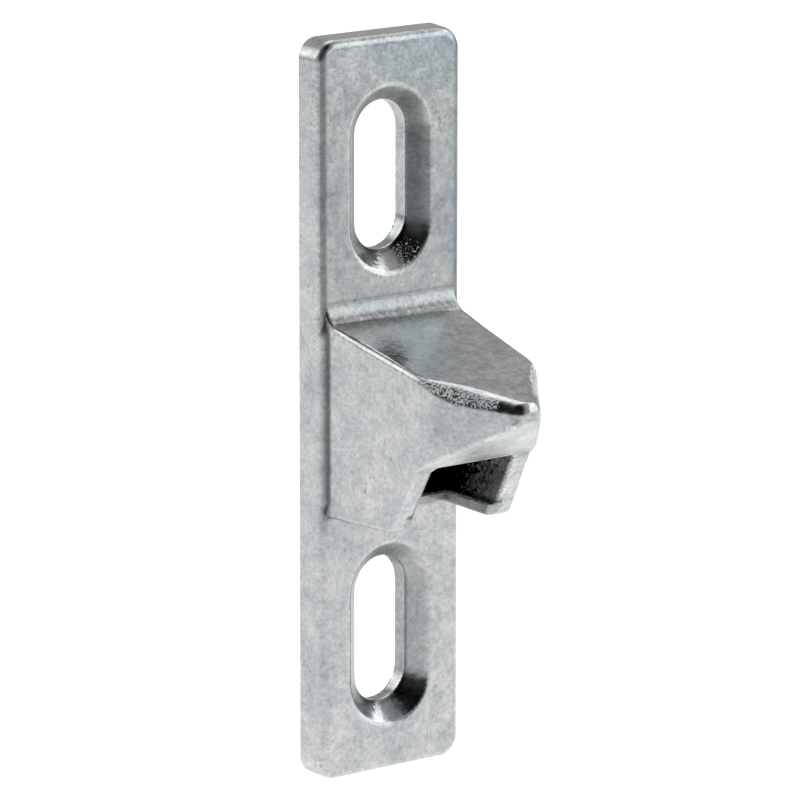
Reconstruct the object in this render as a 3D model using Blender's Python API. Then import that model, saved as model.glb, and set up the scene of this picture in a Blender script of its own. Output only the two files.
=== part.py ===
"""Sliding door keeper, a single zinc die casting.

A flat plate is screwed to the door frame through two long countersunk slots. A hood stands
out of its front and narrows to a blunt nose. The hook of the door's lock enters the mouth
under the nose, swings up into the pocket and pulls against the wall behind the nose. The
pocket is cored through the back of the plate, so the hood is an open shell.

Frame: X to the right, Z up, the front faces -Y and the plate's back face lies at Y = 0.
The origin is on the back face, on the centre line, in the solid land between the window of
the pocket and the lower slot. "Depth" below is the distance in front of the back face.
"""

import math

import bmesh
import bpy

MM = 0.001

# Plate
PLATE_WIDTH = 16.0 * MM
PLATE_LENGTH = 67.9 * MM
PLATE_THICKNESS = 3.2 * MM
PLATE_CORNER = 1.9 * MM
PLATE_FRONT_ROUND = 0.55 * MM
CENTRE_HEIGHT = 11.0 * MM  # the plate's centre above the origin

# Screw slots
SLOT_WIDTH = 5.8 * MM
SLOT_LENGTH = 13.7 * MM
SLOT_SPACING = 42.0 * MM  # from centre to centre
SLOT_LAND = 1.6 * MM  # height of the straight wall above the back face
COUNTERSINK_HALF_ANGLE = math.radians(45)
COUNTERSINK_LIP = 0.9 * MM

# Hood, outside. Heights are counted from the plate's centre, reaches from its front face.
SHOULDER = 0.6 * MM  # what the plate leaves bare beside each cheek
HOOD_WIDTH = PLATE_WIDTH - 2 * SHOULDER
HOOD_TOP = 8.55 * MM
HOOD_FOOT = 9.3 * MM  # below the centre
CHEEK_TAPER = math.radians(4.5)
TOP_SLOPE = math.radians(13.8)
CREASE_REACH = 13.0 * MM
NOSE_REACH = 20.05 * MM
NOSE_WIDTH = 2.3 * MM
NOSE_HEIGHT = 1.8 * MM
THROAT_REACH = 12.1 * MM
THROAT_DROP = 2.95 * MM  # below the centre
TOE_REACH = 8.65 * MM

# Hood, rounded edges
TOP_FILLET = 1.7 * MM
CHEEK_FILLET = 0.4 * MM
RIDGE_ROUND = 0.45 * MM  # along the cheeks
FACET_ROUND = 1.7 * MM  # the same ridge along the facets
FACET_EASE = 2.0 * MM  # the reach over which the ridge widens
RIM_ROUND = 0.15 * MM
CREASE_ROUND = 0.6 * MM
TOE_ROUND = 0.5 * MM
NOSE_ROUND = 0.8 * MM
NOSE_LIP = 0.25 * MM  # the round under the nose

# Pocket
WALL = 2.05 * MM
POCKET_CORNER = 0.7 * MM
SILL_HEIGHT = 1.25 * MM
SILL_DEPTH = 2.0 * MM
LEDGE = 0.3 * MM

# Facets and the overshoot of a cutter
ARC_STEPS = 5
SLOT_STEPS = 14
PAST = 1.0 * MM
SUNK = 0.6 * MM

METAL_COLOUR = (0.56, 0.575, 0.585, 1.0)
METAL_ROUGHNESS = 0.4


def smooth_min(a, b, blend):
    """The smaller of a and b, with their corner rounded off where they differ by less than blend."""
    overlap = max(blend - abs(a - b), 0.0) / blend
    return min(a, b) - overlap * overlap * blend / 4


def smooth_max(a, b, blend):
    return -smooth_min(-a, -b, blend)


def arc_angles(steps, start=0.0, end=math.pi / 2):
    return [start + (end - start) * i / steps for i in range(steps + 1)]


def rectangle_ring(half_width, low, high, low_round, high_round):
    """Points (x, z) around a rectangle with rounded corners, always the same number of them."""
    low_round = min(low_round, 0.98 * half_width, 0.49 * (high - low))
    high_round = min(high_round, 0.98 * half_width, 0.98 * (high - low - low_round))
    corners = (
        (1, high - high_round, high_round, 0.0),
        (-1, high - high_round, high_round, math.pi / 2),
        (-1, low + low_round, low_round, math.pi),
        (1, low + low_round, low_round, 1.5 * math.pi),
    )
    ring = []
    for side, z, radius, turn in corners:
        x = side * (half_width - radius)
        for angle in arc_angles(ARC_STEPS, turn, turn + math.pi / 2):
            ring.append((x + radius * math.cos(angle), z + radius * math.sin(angle)))
    return ring


def slot_ring(half_width, half_length, centre):
    """Points (x, z) around an upright slot with half-round ends."""
    straight = half_length - half_width
    ring = []
    for side, turn in ((1, 0.0), (-1, math.pi)):
        for angle in arc_angles(SLOT_STEPS, turn, turn + math.pi):
            z = centre + side * straight + half_width * math.sin(angle)
            ring.append((half_width * math.cos(angle), z))
    return ring


def loft(name, sections):
    """A closed solid through sections, each a depth and its ring of (x, z), with flat ends."""
    work = bmesh.new()
    rings = [[work.verts.new((x, -depth, z)) for x, z in ring] for depth, ring in sections]
    count = len(rings[0])
    for near, far in zip(rings, rings[1:]):
        for i in range(count):
            j = (i + 1) % count
            work.faces.new((near[i], near[j], far[j], far[i]))
    work.faces.new(rings[0])
    work.faces.new(rings[-1])
    bmesh.ops.recalc_face_normals(work, faces=work.faces)
    mesh = bpy.data.meshes.new(name)
    work.to_mesh(mesh)
    work.free()
    solid = bpy.data.objects.new(name, mesh)
    solid.location.z = CENTRE_HEIGHT
    bpy.context.scene.collection.objects.link(solid)
    return solid


def plate_sections():
    """Flat back with square edges, front edge rounded all the way round."""
    half_width = PLATE_WIDTH / 2
    half_length = PLATE_LENGTH / 2
    edge = min(PLATE_FRONT_ROUND, 0.9 * PLATE_CORNER)
    steps = [(0.0, 0.0)]
    for angle in arc_angles(ARC_STEPS):
        steps.append((PLATE_THICKNESS - edge * (1 - math.sin(angle)), edge * (1 - math.cos(angle))))
    sections = []
    for depth, inset in steps:
        corner = PLATE_CORNER - inset
        ring = rectangle_ring(half_width - inset, inset - half_length, half_length - inset, corner, corner)
        sections.append((depth, ring))
    return sections


def slot_sections(centre):
    """Straight wall, then the countersink's cone, then a lip that rolls over into the front face."""
    half_width = SLOT_WIDTH / 2
    half_length = SLOT_LENGTH / 2
    cone = COUNTERSINK_HALF_ANGLE
    lip_depth = COUNTERSINK_LIP * (1 - math.sin(cone))
    cone_depth = PLATE_THICKNESS - SLOT_LAND - lip_depth
    cone_width = cone_depth * math.tan(cone)
    steps = [(-PAST, 0.0), (SLOT_LAND, 0.0)]
    for angle in arc_angles(ARC_STEPS, cone, math.radians(84)):
        depth = PLATE_THICKNESS - COUNTERSINK_LIP * (1 - math.sin(angle))
        width = cone_width + COUNTERSINK_LIP * (math.cos(cone) - math.cos(angle))
        steps.append((depth, width))
    steps.append((PLATE_THICKNESS + PAST, steps[-1][1] + PAST))
    return [(depth, slot_ring(half_width + width, half_length + width, centre)) for depth, width in steps]


def flare(reach, radius):
    """How far a fillet of this radius stands off the hood at a reach in front of the plate."""
    if reach >= radius:
        return 0.0
    gap = radius - max(reach, 0.0)
    return radius - math.sqrt(radius * radius - gap * gap)


def hood_half_width(reach):
    """Cheeks that taper, then facets that turn in to the nose, with the crease between them eased."""
    cheek = HOOD_WIDTH / 2 - reach * math.tan(CHEEK_TAPER)
    at_crease = HOOD_WIDTH / 2 - CREASE_REACH * math.tan(CHEEK_TAPER)
    turn_in = (at_crease - NOSE_WIDTH / 2) / (NOSE_REACH - CREASE_REACH)
    facet = at_crease - (reach - CREASE_REACH) * turn_in
    return smooth_min(cheek, facet, CREASE_ROUND)


def hood_top(reach):
    return HOOD_TOP - reach * math.tan(TOP_SLOPE)


def hood_low(reach):
    """Level foot, then the slanting rim of the mouth, then the underside of the nose."""
    nose_low = hood_top(NOSE_REACH) - NOSE_HEIGHT
    rim = -THROAT_DROP
    rim += (reach - THROAT_REACH) * (HOOD_FOOT - THROAT_DROP) / (THROAT_REACH - TOE_REACH)
    under = -THROAT_DROP
    under += (reach - THROAT_REACH) * (nose_low + THROAT_DROP) / (NOSE_REACH - THROAT_REACH)
    return smooth_max(-HOOD_FOOT, min(rim, under), TOE_ROUND)


def ridge_round(reach):
    """The hood's upper edges are fine along the cheeks and widen past the crease."""
    share = min(max((reach - CREASE_REACH) / FACET_EASE, 0.0), 1.0)
    return RIDGE_ROUND + (FACET_ROUND - RIDGE_ROUND) * share


def hood_sections():
    """Rings from inside the plate out to the nose. Fillets flare the first, the last are drawn in."""
    reaches = [-SUNK]
    for angle in arc_angles(ARC_STEPS, math.radians(15)):
        reaches.append(TOP_FILLET * (1 - math.cos(angle)))
    toe_ease = TOE_ROUND * (THROAT_REACH - TOE_REACH) / (HOOD_FOOT - THROAT_DROP)
    reaches += [TOE_REACH - toe_ease, TOE_REACH, TOE_REACH + toe_ease, THROAT_REACH]
    for share in (-1.0, -0.5, 0.0, 0.5, 1.0):
        reaches.append(CREASE_REACH + share * CREASE_ROUND)
    reaches += [CREASE_REACH + FACET_EASE / 2, CREASE_REACH + FACET_EASE]
    steps = [(reach, 0.0) for reach in sorted(reaches)]
    for angle in arc_angles(ARC_STEPS):
        steps.append((NOSE_REACH - NOSE_ROUND * (1 - math.sin(angle)), 1 - math.cos(angle)))
    sections = []
    for reach, share in steps:
        width = hood_half_width(reach) + flare(reach, CHEEK_FILLET) - share * NOSE_ROUND
        top = hood_top(reach) + flare(reach, TOP_FILLET) - share * NOSE_ROUND
        low = hood_low(reach) + share * NOSE_LIP
        ring = rectangle_ring(width, low, top, RIM_ROUND, ridge_round(reach))
        sections.append((PLATE_THICKNESS + reach, ring))
    return sections


def pocket_sections():
    """The core of the pocket: a wall's thickness inside the cheeks and the top, open at the back."""
    floor = SILL_HEIGHT - HOOD_FOOT
    sections = []
    for reach in (-PLATE_THICKNESS - PAST, THROAT_REACH):
        width = HOOD_WIDTH / 2 - reach * math.tan(CHEEK_TAPER) - WALL
        ceiling = hood_top(reach) - WALL / math.cos(TOP_SLOPE)
        ring = rectangle_ring(width, floor, ceiling, LEDGE / 2, POCKET_CORNER)
        sections.append((PLATE_THICKNESS + reach, ring))
    return sections


def foot_sections():
    """The gap between the cheeks' feet, in front of the sill and narrower than the pocket above."""
    top = SILL_HEIGHT - HOOD_FOOT + LEDGE
    sections = []
    for reach in (SILL_DEPTH, THROAT_REACH - LEDGE):
        width = HOOD_WIDTH / 2 - reach * math.tan(CHEEK_TAPER) - WALL - LEDGE
        ring = rectangle_ring(width, -HOOD_FOOT - PAST, top, LEDGE / 2, LEDGE / 2)
        sections.append((PLATE_THICKNESS + reach, ring))
    return sections


def combine(solid, other, operation):
    """Joins or cuts the solid with another, which then stays in the file only as a wire guide."""
    modifier = solid.modifiers.new(other.name, "BOOLEAN")
    modifier.operation = operation
    modifier.solver = "EXACT"
    modifier.object = other
    other.hide_render = True
    other.display_type = "WIRE"


def cast_zinc():
    material = bpy.data.materials.new("cast_zinc")
    material.use_nodes = True
    shader = material.node_tree.nodes["Principled BSDF"]
    shader.inputs["Base Color"].default_value = METAL_COLOUR
    shader.inputs["Roughness"].default_value = METAL_ROUGHNESS
    shader.inputs["Metallic"].default_value = 1.0
    return material


for old in list(bpy.data.objects):
    bpy.data.objects.remove(old, do_unlink=True)

keeper = loft("keeper", plate_sections())
combine(keeper, loft("hood", hood_sections()), "UNION")
combine(keeper, loft("pocket_core", pocket_sections()), "DIFFERENCE")
combine(keeper, loft("foot_gap", foot_sections()), "DIFFERENCE")
for slot_name, slot_side in (("upper_slot", 1), ("lower_slot", -1)):
    cutter = loft(slot_name, slot_sections(slot_side * SLOT_SPACING / 2))
    combine(keeper, cutter, "DIFFERENCE")
keeper.data.materials.append(cast_zinc())
keeper.data.shade_smooth()
keeper.data.set_sharp_from_angle(angle=math.radians(30))
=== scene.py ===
"""Sliding door keeper: the finished look of the zinc casting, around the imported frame."""

import math

import bpy
import numpy as np
from mathutils import Matrix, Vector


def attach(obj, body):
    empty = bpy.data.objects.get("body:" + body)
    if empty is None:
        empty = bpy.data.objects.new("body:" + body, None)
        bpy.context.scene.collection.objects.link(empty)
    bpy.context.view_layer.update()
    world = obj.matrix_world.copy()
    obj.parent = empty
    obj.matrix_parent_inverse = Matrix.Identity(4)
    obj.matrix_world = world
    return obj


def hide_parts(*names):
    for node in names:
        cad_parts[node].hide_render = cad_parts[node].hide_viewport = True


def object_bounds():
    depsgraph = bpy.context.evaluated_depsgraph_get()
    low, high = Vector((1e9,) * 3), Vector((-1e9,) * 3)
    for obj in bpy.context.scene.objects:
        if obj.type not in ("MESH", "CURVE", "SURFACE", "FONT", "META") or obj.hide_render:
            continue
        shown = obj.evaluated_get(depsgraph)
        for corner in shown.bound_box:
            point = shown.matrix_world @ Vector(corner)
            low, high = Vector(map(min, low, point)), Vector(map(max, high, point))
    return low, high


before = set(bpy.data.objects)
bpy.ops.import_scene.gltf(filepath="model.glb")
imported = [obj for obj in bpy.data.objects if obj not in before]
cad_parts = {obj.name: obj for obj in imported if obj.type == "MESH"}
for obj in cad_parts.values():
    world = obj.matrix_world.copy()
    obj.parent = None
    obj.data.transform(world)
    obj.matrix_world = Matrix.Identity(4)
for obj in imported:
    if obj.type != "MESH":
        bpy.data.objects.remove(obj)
cad_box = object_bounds()

# The casting
# One zinc die casting: plate, two countersunk slots, hood, nose, mouth and hook pocket in one seamless skin.
# It comes out of the die with every edge a little rounded and is only tumbled, so it stays satin and mottled.

MM = 0.001
low_corner, high_corner = np.array(cad_box) / MM
CENTRE_HEIGHT = (low_corner[2] + high_corner[2]) / 2  # the plate's centre above the frame's origin
PLATE_HALF_WIDTH = high_corner[0] - 0.01
PLATE_HALF_LENGTH = high_corner[2] - CENTRE_HEIGHT - 0.03
PLATE_THICKNESS = 3.2
PLATE_CORNER = 1.9
PLATE_FRONT_ROUND = 0.7
SHARP_ROUND = 0.1


# Each form is a distance in millimetres, negative inside the metal, at places given by how far they lie to
# the right, in front of the back face and above the plate's centre. The skin lies where it is zero.


def both(a, b, radius):
    """Distance to what lies in both shapes: the larger one, with their edge rounded over a quarter circle of
    the two distances, which starts one radius before either face ends."""
    rounded = np.hypot(np.maximum(a + radius, 0), np.maximum(b + radius, 0))
    return np.minimum(np.maximum(a, b), -radius) + rounded


def either(a, b, radius):
    """Distance to what lies in one shape or the other, with a fillet of that radius in their corner."""
    return -both(-a, -b, radius)


def ramp(value, start, end):
    """Nothing up to the start, one from the end on, and a straight rise in between."""
    return np.clip((value - start) / (end - start), 0, 1)


def eased(share):
    """A share from 0 to 1 that leaves and arrives gently: three times its square less twice its cube."""
    return share ** 2 * (3 - 2 * share)


def plate(x, depth, z):
    """A slab on a rectangle with round corners: square edges at the back, rounded edges at the front. The
    upper right corner is sharper at the back than at the front."""
    corner = PLATE_CORNER + ramp(np.minimum(x, z), 4, 5) * (0.3 * depth - 0.6)
    across = np.abs(x) - (PLATE_HALF_WIDTH - corner)
    along = np.abs(z) - (PLATE_HALF_LENGTH - corner)
    outline = np.hypot(np.maximum(across, 0), np.maximum(along, 0))
    outline += np.minimum(np.maximum(across, along), 0) - corner
    return both(both(outline, depth - PLATE_THICKNESS, PLATE_FRONT_ROUND), -depth, SHARP_ROUND)


CHEEK_TAPER = math.radians(4.5)
TOP_SLOPE = math.radians(13.8)
HOOD_HALF_WIDTH = 7.42
HOOD_TOP = 8.54
HOOD_FOOT = -9.31
CREASE_REACH = 13.0
CREASE_ROUND = 0.5
NOSE_REACH = -low_corner[1] - PLATE_THICKNESS - 0.02
NOSE_HALF_WIDTH = 1.14
NOSE_HEIGHT = 1.82
NOSE_ROUND = 0.72
THROAT_REACH = 12.1
THROAT_HEIGHT = -2.96
THROAT_ROUND = 0.2
TOE_REACH = 8.65
FLARE = 1.45
FOOT_ROUND = 0.42
RIM_ROUND = 0.09
UNDERSIDE_EXTRA_ROUND = 0.2
NOSE_FOOT = HOOD_TOP - NOSE_REACH * math.tan(TOP_SLOPE) - NOSE_HEIGHT
UNDERSIDE_RISE = (NOSE_FOOT - THROAT_HEIGHT) / (NOSE_REACH - THROAT_REACH)
RIM_RISE = (THROAT_HEIGHT - HOOD_FOOT) / (THROAT_REACH - TOE_REACH)


def cheek_half_width(reach):
    """The hood's half width falls evenly with the reach in front of the plate."""
    return HOOD_HALF_WIDTH - reach * math.tan(CHEEK_TAPER)


def hood_top(reach):
    """The hood's top falls evenly with the reach in front of the plate."""
    return HOOD_TOP - reach * math.tan(TOP_SLOPE)


def rising(reach, rise, z):
    """Distance below a plane that rises by that much for each step of reach, through the throat."""
    return (THROAT_HEIGHT + (reach - THROAT_REACH) * rise - z) / math.hypot(1, rise)


def ridge_round(reach):
    """How far the ridge between the hood's side and top is rounded: finely at the plate, broadly along the
    facets, and less again at the nose."""
    return 0.5 * ramp(reach, -5, 5) + eased(ramp(reach, 11.5, 15.5)) - 0.45 * ramp(reach, 15.5, 19.5)


def hood(x, depth, z):
    """Planes that bound the hood, rounded into each other. Cheeks, facets and the flared top come first.
    The nose cuts them off in front, the foot below, and between these the slanting rim and the underside
    of the nose meet in the throat. A box keeps the planes from reaching past the hood."""
    reach = depth - PLATE_THICKNESS
    side = np.abs(x)
    cheek = (side - cheek_half_width(reach)) * math.cos(CHEEK_TAPER)
    crease = cheek_half_width(CREASE_REACH)
    turn_in = (crease - NOSE_HALF_WIDTH) / (NOSE_REACH - CREASE_REACH)
    facet = (side - crease + (reach - CREASE_REACH) * turn_in) / math.hypot(1, turn_in)
    top = either((z - hood_top(reach)) * math.cos(TOP_SLOPE), reach, FLARE)
    shell = both(both(cheek, facet, CREASE_ROUND), top, ridge_round(reach))
    shell = both(shell, reach - NOSE_REACH, NOSE_ROUND)
    below = either(rising(reach, UNDERSIDE_RISE, z), rising(reach, RIM_RISE, z), THROAT_ROUND)
    forward = ramp(reach, THROAT_REACH, THROAT_REACH + 1)
    shell = both(shell, below, RIM_ROUND + UNDERSIDE_EXTRA_ROUND * forward)
    shell = both(shell, HOOD_FOOT - z, FOOT_ROUND)
    box = np.maximum(np.abs(z - 0.4) - 9.95, -0.8 - reach)
    return np.maximum(shell, box)


def hood_mouth(depth, z):
    """How far a point lies in front of the slanting rim, negative behind it."""
    return rising(depth - PLATE_THICKNESS, RIM_RISE, z)


WALL = 2.05
POCKET_CORNER = 0.7
POCKET_END_ROUND = 0.2
SILL_HEIGHT = 1.3
SILL_DEPTH = 2.0
SILL_ROUND = 0.15
LEDGE = 0.35
GAP_OVERLAP = 0.35  # how far the gap between the feet runs up into the core
CHAMFER_WIDTH = 0.55
CHAMFER_RUN = 2.5  # how much longer the chamfer is than it is wide
CHAMFER_START = 4.0


def pocket(x, depth, z):
    """The core of the pocket, a wall inside cheeks and top, with the narrower gap between the cheeks' feet
    and a slight chamfer on the inner edge of the rim."""
    reach = depth - PLATE_THICKNESS
    inner = (np.abs(x) - cheek_half_width(reach)) * math.cos(CHEEK_TAPER) + WALL
    ceiling = (z - hood_top(reach)) * math.cos(TOP_SLOPE) + WALL
    core = both(both(inner, ceiling, POCKET_CORNER), reach - THROAT_REACH, POCKET_END_ROUND)
    core = both(core, HOOD_FOOT + SILL_HEIGHT - z, SILL_ROUND)
    gap = both(inner + LEDGE, SILL_DEPTH - reach, POCKET_END_ROUND)
    gap = both(gap, z - (HOOD_FOOT + SILL_HEIGHT + GAP_OVERLAP), POCKET_END_ROUND)
    chamfer = (inner - CHAMFER_WIDTH - CHAMFER_RUN * hood_mouth(depth, z)) / math.hypot(1, CHAMFER_RUN)
    chamfer = np.maximum(chamfer, np.maximum(z - THROAT_HEIGHT + 0.3, CHAMFER_START - reach))
    return either(np.minimum(core, chamfer), np.maximum(gap, reach - THROAT_REACH), POCKET_END_ROUND)


SLOT_CENTRE = 21.0  # above and below the plate's centre
SLOT_HALF_WIDTH = 2.89
SLOT_HALF_STRAIGHT = 3.94
SLOT_LAND = 1.6
CONE_HALF_ANGLE = math.radians(47)
CONE_DROP = 0.2
SLOT_LIP_ROUND = 0.2
SLOT_BACK_ROUND = 0.08
SLOT_SEAM_ROUND = 0.06
ROOT_FILLET = 0.68
FOOT_FILLET = 0.08


def slot(x, depth, z):
    """An upright slot with half-round ends: a straight bore, then a cone to the front, which the other half
    of the die forms a little lower. Each is the distance to a line as long as the straight part, less the
    half width."""
    bore = np.hypot(x, np.maximum(np.abs(z) - SLOT_HALF_STRAIGHT, 0)) - SLOT_HALF_WIDTH
    mouth = np.hypot(x, np.maximum(np.abs(z + CONE_DROP) - SLOT_HALF_STRAIGHT, 0)) - SLOT_HALF_WIDTH
    cone = mouth * math.cos(CONE_HALF_ANGLE) - (depth - SLOT_LAND) * math.sin(CONE_HALF_ANGLE)
    return either(bore, cone, SLOT_SEAM_ROUND)


def casting(x, depth, z):
    """The plate less its two slots, whose lips roll over into the front, joined to the hood, less the
    pocket. The fillet round the hood's root is broad along the cheeks and fades out at foot and top."""
    solid = plate(x, depth, z)
    for centre in (SLOT_CENTRE, -SLOT_CENTRE):
        solid = both(solid, -slot(x, depth, z - centre), np.where(depth < 1, SLOT_BACK_ROUND, SLOT_LIP_ROUND))
    root = eased(np.minimum(ramp(z, -9.2, -7.5), ramp(z, 8.9, 7.1)))
    fillet = np.maximum(ROOT_FILLET * root, FOOT_FILLET * (z < 0))
    joined = np.maximum(either(solid, hood(x, depth, z), fillet), np.abs(x) - PLATE_HALF_WIDTH)
    return both(joined, -pocket(x, depth, z), SHARP_ROUND + 0.3 * ramp(z, -8.4, -9.4))


def steps_along(low, high, fine, coarse, calm):
    """Places from low to high, a fine step apart, easing to a coarse step inside each calm stretch."""
    place = np.linspace(low, high, 4001)
    share = np.zeros_like(place)
    for start, end in calm:
        share = np.maximum(share, np.clip(np.minimum(place - start, end - place), 0, 1))
    density = 1 / (fine + (coarse - fine) * share)
    count = np.concatenate([[0.0], np.cumsum((density[1:] + density[:-1]) / 2 * np.diff(place))])
    return np.interp(np.linspace(0, count[-1], int(count[-1]) + 1), count, place)


def slope_of(shape, points, step=0.01):
    """The gradient of a distance at each point, from the difference over a small step either way."""
    slope = np.empty_like(points)
    for axis in range(3):
        ahead, behind = points.copy(), points.copy()
        ahead[axis] += step
        behind[axis] -= step
        slope[axis] = (shape(*ahead) - shape(*behind)) / (2 * step)
    return slope


def settle(shape, points, reach=0.1):
    """Each point moves down the distance's slope onto the surface, by at most reach."""
    for _ in range(3):
        slope = slope_of(shape, points)
        move = shape(*points) * slope / np.maximum((slope ** 2).sum(0), 1e-6)
        points = points - move * np.minimum(1, reach / np.maximum(np.linalg.norm(move, axis=0), 1e-9))
    return points


def crossings_of(values, lines):
    """For each grid cell, how many of its twelve edges the surface crosses, and the sum of the crossings. A
    crossing splits its edge in the ratio of the distances at the two ends."""
    cells = tuple(n - 1 for n in values.shape)
    total, crossings = np.zeros((3,) + cells), np.zeros(cells)
    for axis in range(3):
        low = np.moveaxis(values, axis, 0)[:-1]
        high = np.moveaxis(values, axis, 0)[1:]
        crossed = (low < 0) != (high < 0)
        share = np.where(crossed, low / np.where(crossed, low - high, 1), 0)
        line = lines[axis]
        place = line[:-1, None, None] + share * np.diff(line)[:, None, None]
        crossed, place = np.moveaxis(crossed, 0, axis), np.moveaxis(place, 0, axis)
        others = [n for n in range(3) if n != axis]
        for one in (0, 1):
            for two in (0, 1):
                part = [slice(None)] * 3
                part[others[0]] = slice(one, one + cells[others[0]])
                part[others[1]] = slice(two, two + cells[others[1]])
                part = tuple(part)
                hit = crossed[part]
                crossings += hit
                total[axis] += np.where(hit, place[part], 0)
                for other, shift in zip(others, (one, two)):
                    view = [None] * 3
                    view[other] = slice(None)
                    total[other] += hit * lines[other][shift:shift + cells[other]][tuple(view)]
    return crossings, total


def skin_of(shape, lines):
    """Points and four-sided faces of the surface where the distance is zero. Each grid cell that the surface
    crosses holds one point, the mean of its crossings, and each grid edge that it crosses carries one face
    between the four cells around it, which looks towards the edge's outer end."""
    values = shape(lines[0][:, None, None], lines[1][None, :, None], lines[2][None, None, :])
    crossings, total = crossings_of(values, lines)
    active = crossings > 0
    number = np.full(crossings.shape, -1)
    number[active] = np.arange(active.sum())
    points = total[:, active] / crossings[active]
    faces = []
    for axis in range(3):
        inside = np.moveaxis(values < 0, axis, 0)[:, 1:-1, 1:-1]
        owner = np.moveaxis(number, axis, 0)
        start, end = inside[:-1], inside[1:]
        corners = np.stack([owner[:, :-1, :-1], owner[:, 1:, :-1], owner[:, 1:, 1:], owner[:, :-1, 1:]], -1)
        leaving = corners[start & ~end]
        entering = corners[~start & end]
        if axis != 1:
            leaving, entering = leaving[:, ::-1], entering[:, ::-1]
        faces += [leaving, entering[:, ::-1]]
    return points, np.concatenate(faces)


def relax(shape, points, faces, rounds):
    """Evens out the faces: each point moves half way to the mean of its neighbours, then back onto the
    surface."""
    for _ in range(rounds):
        total, count = np.zeros_like(points), np.zeros(points.shape[1])
        for shift in (1, 3):
            other = np.roll(faces, shift, 1)
            count += np.bincount(faces.ravel(), minlength=count.size)
            for axis in range(3):
                total[axis] += np.bincount(faces.ravel(), points[axis][other.ravel()], minlength=count.size)
        points = settle(shape, (points + total / count) / 2)
    return points


# The grid reaches past the casting on every side, by odd amounts that keep its lines off the flat faces. Its
# steps are longer where the plate runs straight.
FINE_STEP = 0.2
x_lines = steps_along(-PLATE_HALF_WIDTH - 0.14, PLATE_HALF_WIDTH + 0.18, FINE_STEP, FINE_STEP, [])
depth_lines = steps_along(-0.21, PLATE_THICKNESS + NOSE_REACH + 0.48, FINE_STEP, 0.4, [(0.4, 1.4)])
straight = [(-31, -30), (-25, -17), (-12.5, -10), (10.8, 12), (17, 25), (30, 31)]
z_lines = steps_along(-PLATE_HALF_LENGTH - 0.21, PLATE_HALF_LENGTH + 0.25, FINE_STEP, 0.6, straight)
points, faces = skin_of(casting, (x_lines, depth_lines, z_lines))
points = relax(casting, settle(casting, points), faces, 2)
slope = slope_of(casting, points)
facing = slope / np.linalg.norm(slope, axis=0)
print("casting", points.shape[1], "points", 2 * len(faces), "triangles")


def in_frame(rows):
    """Turns across, depth and height into the frame's axes: the front faces minus Y."""
    return np.stack([rows[0], -rows[1], rows[2]], -1)


mesh = bpy.data.meshes.new("casting")
mesh.from_pydata((in_frame(points) + (0, 0, CENTRE_HEIGHT)) * MM, [], faces)
mesh.shade_smooth()
mesh.normals_split_custom_set_from_vertices(in_frame(facing))


def keep(name, values):
    """Keeps one number from 0 to 1 for each point, for the material."""
    layer = mesh.attributes.new(name, "FLOAT", "POINT")
    layer.data.foreach_set("value", np.clip(values, 0, 1).astype(np.float32))


def bend_of(shape, points, facing, span):
    """How far the surface falls away to all sides of each point, over that span: the mean of the distance at
    four places beside it. It is positive on edges and negative in corners."""
    along = np.stack([-facing[2], facing[0] * 0, facing[0]]) + 1e-6
    along = along / np.linalg.norm(along, axis=0)
    across = np.cross(facing, along, axis=0)
    return sum(shape(*(points + span * way)) for way in (along, -along, across, -across)) / (4 * span)


# Edges that tumbling has burnished, concave corners and fillets darkened as painted shade, and faces that
# look down, which stay dull and are painted lighter as if lit from below.
x, depth, z = points
reach = depth - PLATE_THICKNESS
in_pocket = pocket(x, depth, z)
behind_rim = -hood_mouth(depth, z)
bend = bend_of(casting, points, facing, 0.25)
keep("worn", bend * 4 * (in_pocket > 0.05))
# Painted shade: concave corners and fillets darken with how sharply they bend in.
keep("corner_shade", -bend * 7)
# Faces that look down: rougher, and painted lighter as if lit from below.
keep("dull_and_lit_from_below", -2.5 * facing[2] - 0.2)

# The pocket, painted darker the deeper it goes as painted shade, and painted shade along the step of its
# sill.
deeper = ramp(behind_rim, 0, 7) * ramp(z - HOOD_FOOT, 1.1, 1.3)
# Painted shade: the pocket's walls fade towards black with depth behind the rim.
keep("inside", ramp(in_pocket, 0.02, 0) * deeper)
# Painted shade on the sill's step inside the mouth, which also hides the bright reflection on its edge.
on_sill = (in_pocket < 0.1) * (z < HOOD_FOOT + 1.8)
keep("sill_shade", on_sill * np.maximum((reach > 0) * (1 - np.abs(z - HOOD_FOOT - 1.45) / 0.4), 0.3))

# The slots: a dark seam where bore and cone meet, and cones darkened with painted shade and painted dark
# reflections, the upper one more than the lower one. The plate is also darker in a band beside the hood's
# root.
slot_gap = np.minimum(np.abs(slot(x, depth, z - SLOT_CENTRE)), np.abs(slot(x, depth, z + SLOT_CENTRE)))
in_slot = np.clip(1.5 - slot_gap / 0.05, 0, 1) * (reach < 0.05)
keep("seam", in_slot * (1 - np.abs(depth - SLOT_LAND - 0.05) / 0.16))
upright = np.clip(1.4 - 3 * facing[2], 0, 1)
right = np.clip(-2.5 * facing[0], 0, 1) * upright
left = np.clip(2.5 * facing[0], 0, 1) * upright
ends = np.clip(-3 * facing[2] - 1, 0, 1)
# Painted shade and painted dark reflections on the cones' sides and ends, stronger in the upper slot.
on_upper = np.maximum(0.95 * right + 0.9 * left, 0.6 * ends) * ramp(depth, 1.6, 1.8) * ramp(depth, 3.6, 2.4)
on_lower = np.maximum(0.42 * right + 0.36 * left, 0.9 * ends) * ramp(depth, 3.8, 2.4)
# A darker band on the plate beside the hood's root.
beside_root = 1 - np.abs(np.abs(x) - 7.45) / 0.45
beside_root = beside_root * np.clip((z + 12) / 4, 0.1, 1) * ramp(reach, 0.9, 0.5)
keep("cone_shade_and_root_band", np.maximum(in_slot * np.where(z > 0, on_upper, on_lower), 1.1 * beside_root))

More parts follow.
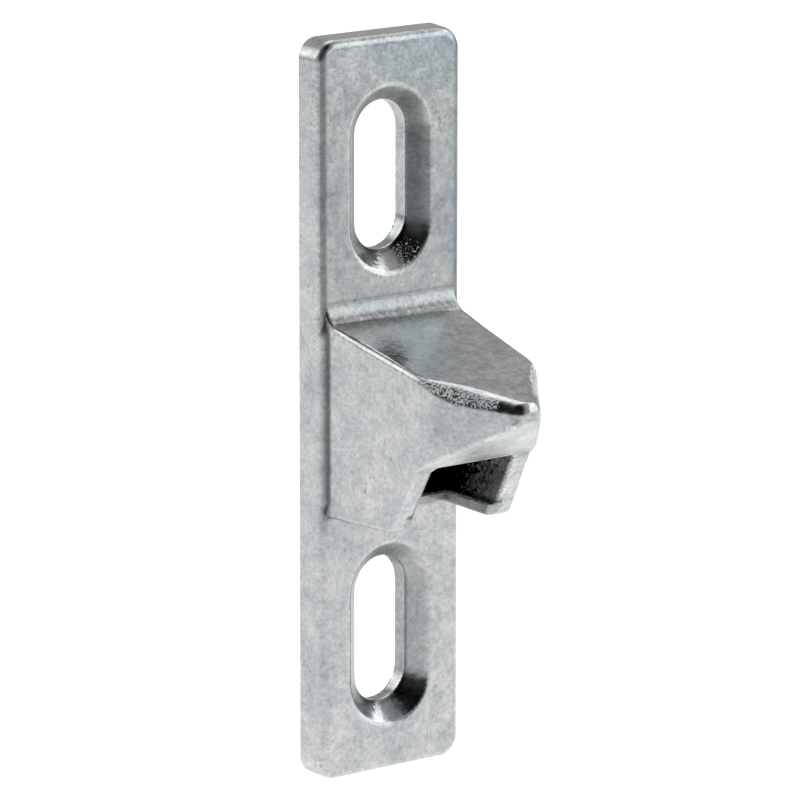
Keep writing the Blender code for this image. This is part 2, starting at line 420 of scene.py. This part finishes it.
# Grit that tumbling has left: on the broad ridge, low on the right in the upper cone, and on the right rim.
on_ridge = ramp(facing[2], 0.15, 0.3) * ramp(facing[2], 0.86, 0.76) * (np.abs(x) > 1.2)
on_ridge = on_ridge * ramp(reach, 12.4, 12.9) * ramp(reach, 18.4, 17.7)
turned = np.degrees(np.arctan2(z - SLOT_CENTRE + 4, x))
in_cone = in_slot * (depth > 1.7) * (z > 0) * np.clip(1.2 - np.abs(turned + 55) / 22, 0, 1)
on_rim = (x > 0) * (in_pocket < 0.02) * ramp(behind_rim, 0.3, 0)
keep("rough", np.maximum(np.maximum(on_ridge, 0.3 * in_cone), 0.7 * on_rim))

casting_piece = bpy.data.objects.new("casting", mesh)
bpy.context.scene.collection.objects.link(casting_piece)


class Wire:
    """A value in a material: a socket with Python's operators, which add its Math nodes."""

    def __init__(self, tree, socket):
        self.tree, self.socket = tree, socket

    def node(self, kind, settings=None, output=0, **inputs):
        """Adds a node with its settings, then its inputs by name, or by number after an underscore."""
        made = self.tree.nodes.new(kind)
        for name, value in (settings or {}).items():
            setattr(made, name, value)
        for name, value in inputs.items():
            socket = made.inputs[int(name[1:]) if name[1:].isdigit() else name.replace("_", " ")]
            if isinstance(value, Wire):
                self.tree.links.new(value.socket, socket)
            else:
                socket.default_value = value
        return Wire(self.tree, made.outputs[output])

    def feed(self, shader, name):
        """Links this value to a socket of the shader."""
        self.tree.links.new(self.socket, shader.inputs[name])

    def math(self, operation, other=0.0):
        return self.node("ShaderNodeMath", {"operation": operation}, _0=self, _1=other)

    def __add__(self, other):
        return self.math("ADD", other)

    __radd__ = __add__

    def __mul__(self, other):
        return self.math("MULTIPLY", other)

    __rmul__ = __mul__

    def __sub__(self, other):
        return self.math("SUBTRACT", other)

    def __rsub__(self, other):
        return self.math("MULTIPLY", -1.0) + other

    def between(self, low, high):
        """Nothing up to the low value, one from the high value on, and a straight rise in between."""
        return self.node("ShaderNodeMapRange", Value=self, From_Min=low, From_Max=high)

    def blend(self, first, second):
        """One colour where this value is 0, easing to another where it is 1."""
        first, second = (*first, 1.0), (*second, 1.0)
        return self.node("ShaderNodeMix", {"data_type": "RGBA"}, output=2, Factor=self, _6=first, _7=second)

    def times(self, amount):
        """This colour, with each channel multiplied by the amount."""
        return self.node("ShaderNodeVectorMath", {"operation": "SCALE"}, _0=self, Scale=amount)


COOL_ZINC = (0.578, 0.604, 0.626)
WARM_ZINC = (0.596, 0.607, 0.588)

material = bpy.data.materials.new("cast_zinc_finish")
material.use_nodes = True
tree = material.node_tree
zinc = tree.nodes["Principled BSDF"]
start = Wire(tree, None)
place = start.node("ShaderNodeTexCoord", output="Object")


def grain(size, detail):
    """Noise between about 0.25 and 0.75, whose blotches measure that many millimetres."""
    scale = 1 / (size * MM)
    return start.node("ShaderNodeTexNoise", Vector=place, Scale=scale, Detail=detail, Roughness=0.5)


def kept(name):
    """The number that the mesh keeps under that name for each point."""
    return start.node("ShaderNodeAttribute", {"attribute_name": name}, output="Fac")


fine = grain(0.19, 0.0)
dots = grain(0.42, 0.0)
mottle = grain(0.95, 1.0)
patches = grain(2.6, 1.0)
cloud = grain(6.5, 1.0)
grit = start.node("ShaderNodeTexVoronoi", output="Distance", Vector=place, Scale=1 / (0.17 * MM))
rough = kept("rough")
inside = kept("inside")

# How bright the metal is: five sizes of mottle and a few pits, lighter on worn edges and, as painted light,
# on faces that look down; painted shade in corners, on the cones and on the sill's step, darker beside the
# hood's root, painted shade going black deep in the pocket, with bright flecks of grit.
pits = (grain(0.3, 1.0) + 0.35 * cloud).between(0.86, 0.96)
texture = 0.3 * fine + 0.3 * dots + 0.32 * mottle + 0.32 * patches + 0.36 * cloud
shade = (0.01 + texture) * (1 - 0.35 * pits)
# Burnished edges are lighter; painted shade darkens concave corners.
shade = shade * (1 + 0.14 * kept("worn")) * (1 - 0.75 * kept("corner_shade"))
# Painted light brightens faces that look down, painted shade darkens the cones, and a darker band lies beside
# the hood's root.
shade = shade * (1 - 0.55 * kept("seam")) * (1 - 0.5 * kept("cone_shade_and_root_band")) * (1 + 0.16 * kept("dull_and_lit_from_below"))
# Painted shade deep in the pocket, ragged with noise near the rim.
ragged = (inside + 0.8 * dots + 0.5 * mottle + 0.9 * fine).between(1.0, 1.7)
dark = inside.between(0.0, 0.03) * (0.6 + 0.4 * ragged)
flecks = (grit + 0.8 * fine + 0.4 * rough).between(1.16, 1.34) * rough.between(0.0, 0.15)
# Painted shade: black deep in the pocket and on the sill's step, with bright flecks of grit.
shade = shade * (1 - dark) * (1 + 0.9 * flecks) * (1 - 0.7 * kept("sill_shade"))
tint = (patches + cloud).between(0.85, 1.15).blend(COOL_ZINC, WARM_ZINC)
tint.times(shade).feed(zinc, "Base Color")
zinc.inputs["Specular IOR Level"].default_value = 0.0
# The painted shade in the pocket and on the sill also takes away the metal's shine.
metal = (1 - 0.85 * flecks) * (1 - dark) * (1 - 0.9 * kept("sill_shade"))
metal.feed(zinc, "Metallic")
roughness = 0.12 + 0.16 * mottle + 0.15 * kept("dull_and_lit_from_below") + 0.12 * rough + 0.22 * kept("cone_shade_and_root_band")
roughness.feed(zinc, "Roughness")
relief = 0.004 * fine + 0.012 * dots + 0.014 * mottle + 0.02 * grit * rough
bump = start.node("ShaderNodeBump", Height=relief, Distance=MM, Strength=1.0)
bump.feed(zinc, "Normal")
mesh.materials.append(material)
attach(casting_piece, "root")
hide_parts("keeper")

# The floor
# A plain pale table top under the plate's lower end, far wider than the view. It glows by itself, as a
# photographer's light table does, with painted pools of light brightest behind the keeper and to the far
# right, and painted shadows that dim it close in front.

FLOOR_HALF_SIZE = 6.0
FLOOR_HEIGHT = (CENTRE_HEIGHT - PLATE_HALF_LENGTH) * MM

floor_mesh = bpy.data.meshes.new("floor")
corners = FLOOR_HALF_SIZE * np.array([(-1, -1, 0), (1, -1, 0), (1, 1, 0), (-1, 1, 0)])
floor_mesh.from_pydata(corners + (0, 0, FLOOR_HEIGHT), [], [(0, 1, 2, 3)])
floor = bpy.data.objects.new("floor", floor_mesh)
bpy.context.scene.collection.objects.link(floor)
floor_material = bpy.data.materials.new("pale_table")
floor_material.use_nodes = True
floor_tree = floor_material.node_tree
table_top = floor_tree.nodes["Principled BSDF"]
table_top.inputs["Base Color"].default_value = (0.1, 0.1, 0.1, 1.0)
table_top.inputs["Roughness"].default_value = 0.9
table_top.inputs["Emission Strength"].default_value = 1.0
spot = Wire(floor_tree, None).node("ShaderNodeTexCoord", output="Object")


def fall_off(x, y, start, end, near, far):
    """One value within a distance of a place on the floor, easing to another beyond a larger distance."""
    centre, distance = (x, y, FLOOR_HEIGHT), {"operation": "DISTANCE"}
    away = spot.node("ShaderNodeVectorMath", distance, output="Value", _0=spot, _1=centre)
    ease = {"interpolation_type": "SMOOTHSTEP"}
    limits = {"From_Min": start, "From_Max": end, "To_Min": near, "To_Max": far}
    return spot.node("ShaderNodeMapRange", ease, Value=away, **limits)


# Painted light on the floor: pools of glow behind and to the far right, and two dim spots in front as painted
# shadows.
painted_floor_light_and_shadow = fall_off(0.13, 0.13, 0.34, 0.72, 0.98, 0.35) + fall_off(0.13, 0.13, 0.16, 0.30, 0.08, 0.0)
painted_floor_light_and_shadow = painted_floor_light_and_shadow * fall_off(-0.16, -0.21, 0.06, 0.14, 0.35, 1.0) * fall_off(0.22, -0.28, 0.1, 0.26, 0.7, 1.0)
painted_floor_light_and_shadow = painted_floor_light_and_shadow + fall_off(0.8, -1.0, 0.42, 0.86, 1.5, 0.0)
far_off = fall_off(0.13, 0.13, 0.25, 0.42, 0.0, 1.0)
far_off.blend((1.0, 1.0, 1.0), (0.93, 1.0, 1.05)).times(painted_floor_light_and_shadow).feed(table_top, "Emission Color")
floor_mesh.materials.append(floor_material)

# Light and camera
# Soft studio light: an even room, dark around the camera, a large softbox to the right front, a lamp behind
# on each side and a small one to the right. A long lens looks on from 38 degrees to the left of the plate's
# front and 12.5 degrees above it.

world = bpy.data.worlds.new("studio")
bpy.context.scene.world = world
world.use_nodes = True
studio_tree = world.node_tree
backdrop = studio_tree.nodes["Background"]
gaze = Wire(studio_tree, None).node("ShaderNodeTexCoord", output="Generated")


def soft_patch(azimuth, elevation, inner, outer):
    """One within the inner angle of a direction and nothing past the outer one, all in degrees. The azimuth
    counts from the plate's front to the right."""
    turn, rise = math.radians(azimuth), math.radians(elevation)
    aim = (math.sin(turn) * math.cos(rise), -math.cos(turn) * math.cos(rise), math.sin(rise))
    near = gaze.node("ShaderNodeVectorMath", {"operation": "DOT_PRODUCT"}, output="Value", _0=gaze, _1=aim)
    ease = {"interpolation_type": "SMOOTHSTEP"}
    low, high = math.cos(math.radians(outer)), math.cos(math.radians(inner))
    return gaze.node("ShaderNodeMapRange", ease, Value=near, From_Min=low, From_Max=high)


room = 0.45 * (1 - 0.98 * soft_patch(-35, 28, 34, 47)) * (1 - 0.9 * soft_patch(-30, 58, 20, 34))
lamps = room + 1.2 * soft_patch(140, 62, 12, 27) + 1.4 * soft_patch(-143, 30, 10, 34)
softbox = soft_patch(60, 12, 24, 34)
lamps = lamps + 1.15 * softbox + 1.3 * soft_patch(84, 38, 7, 18)
lamps.feed(backdrop, "Strength")
softbox.blend((1.0, 1.0, 1.0), (0.93, 1.0, 1.03)).feed(backdrop, "Color")

lens = bpy.data.cameras.new("camera")
lens.lens = 269.43
lens.clip_start = 0.01
camera = bpy.data.objects.new("camera", lens)
camera.location = (-0.32404, -0.41931, 0.12817)
turn = Matrix.Rotation(math.radians(-38.0), 3, "Z") @ Matrix.Rotation(math.radians(90 - 12.47), 3, "X")
camera.rotation_euler = (turn @ Matrix.Rotation(math.radians(0.071), 3, "Z")).to_euler()
bpy.context.scene.collection.objects.link(camera)
bpy.context.scene.camera = camera
bpy.context.scene.view_settings.view_transform = "Standard"
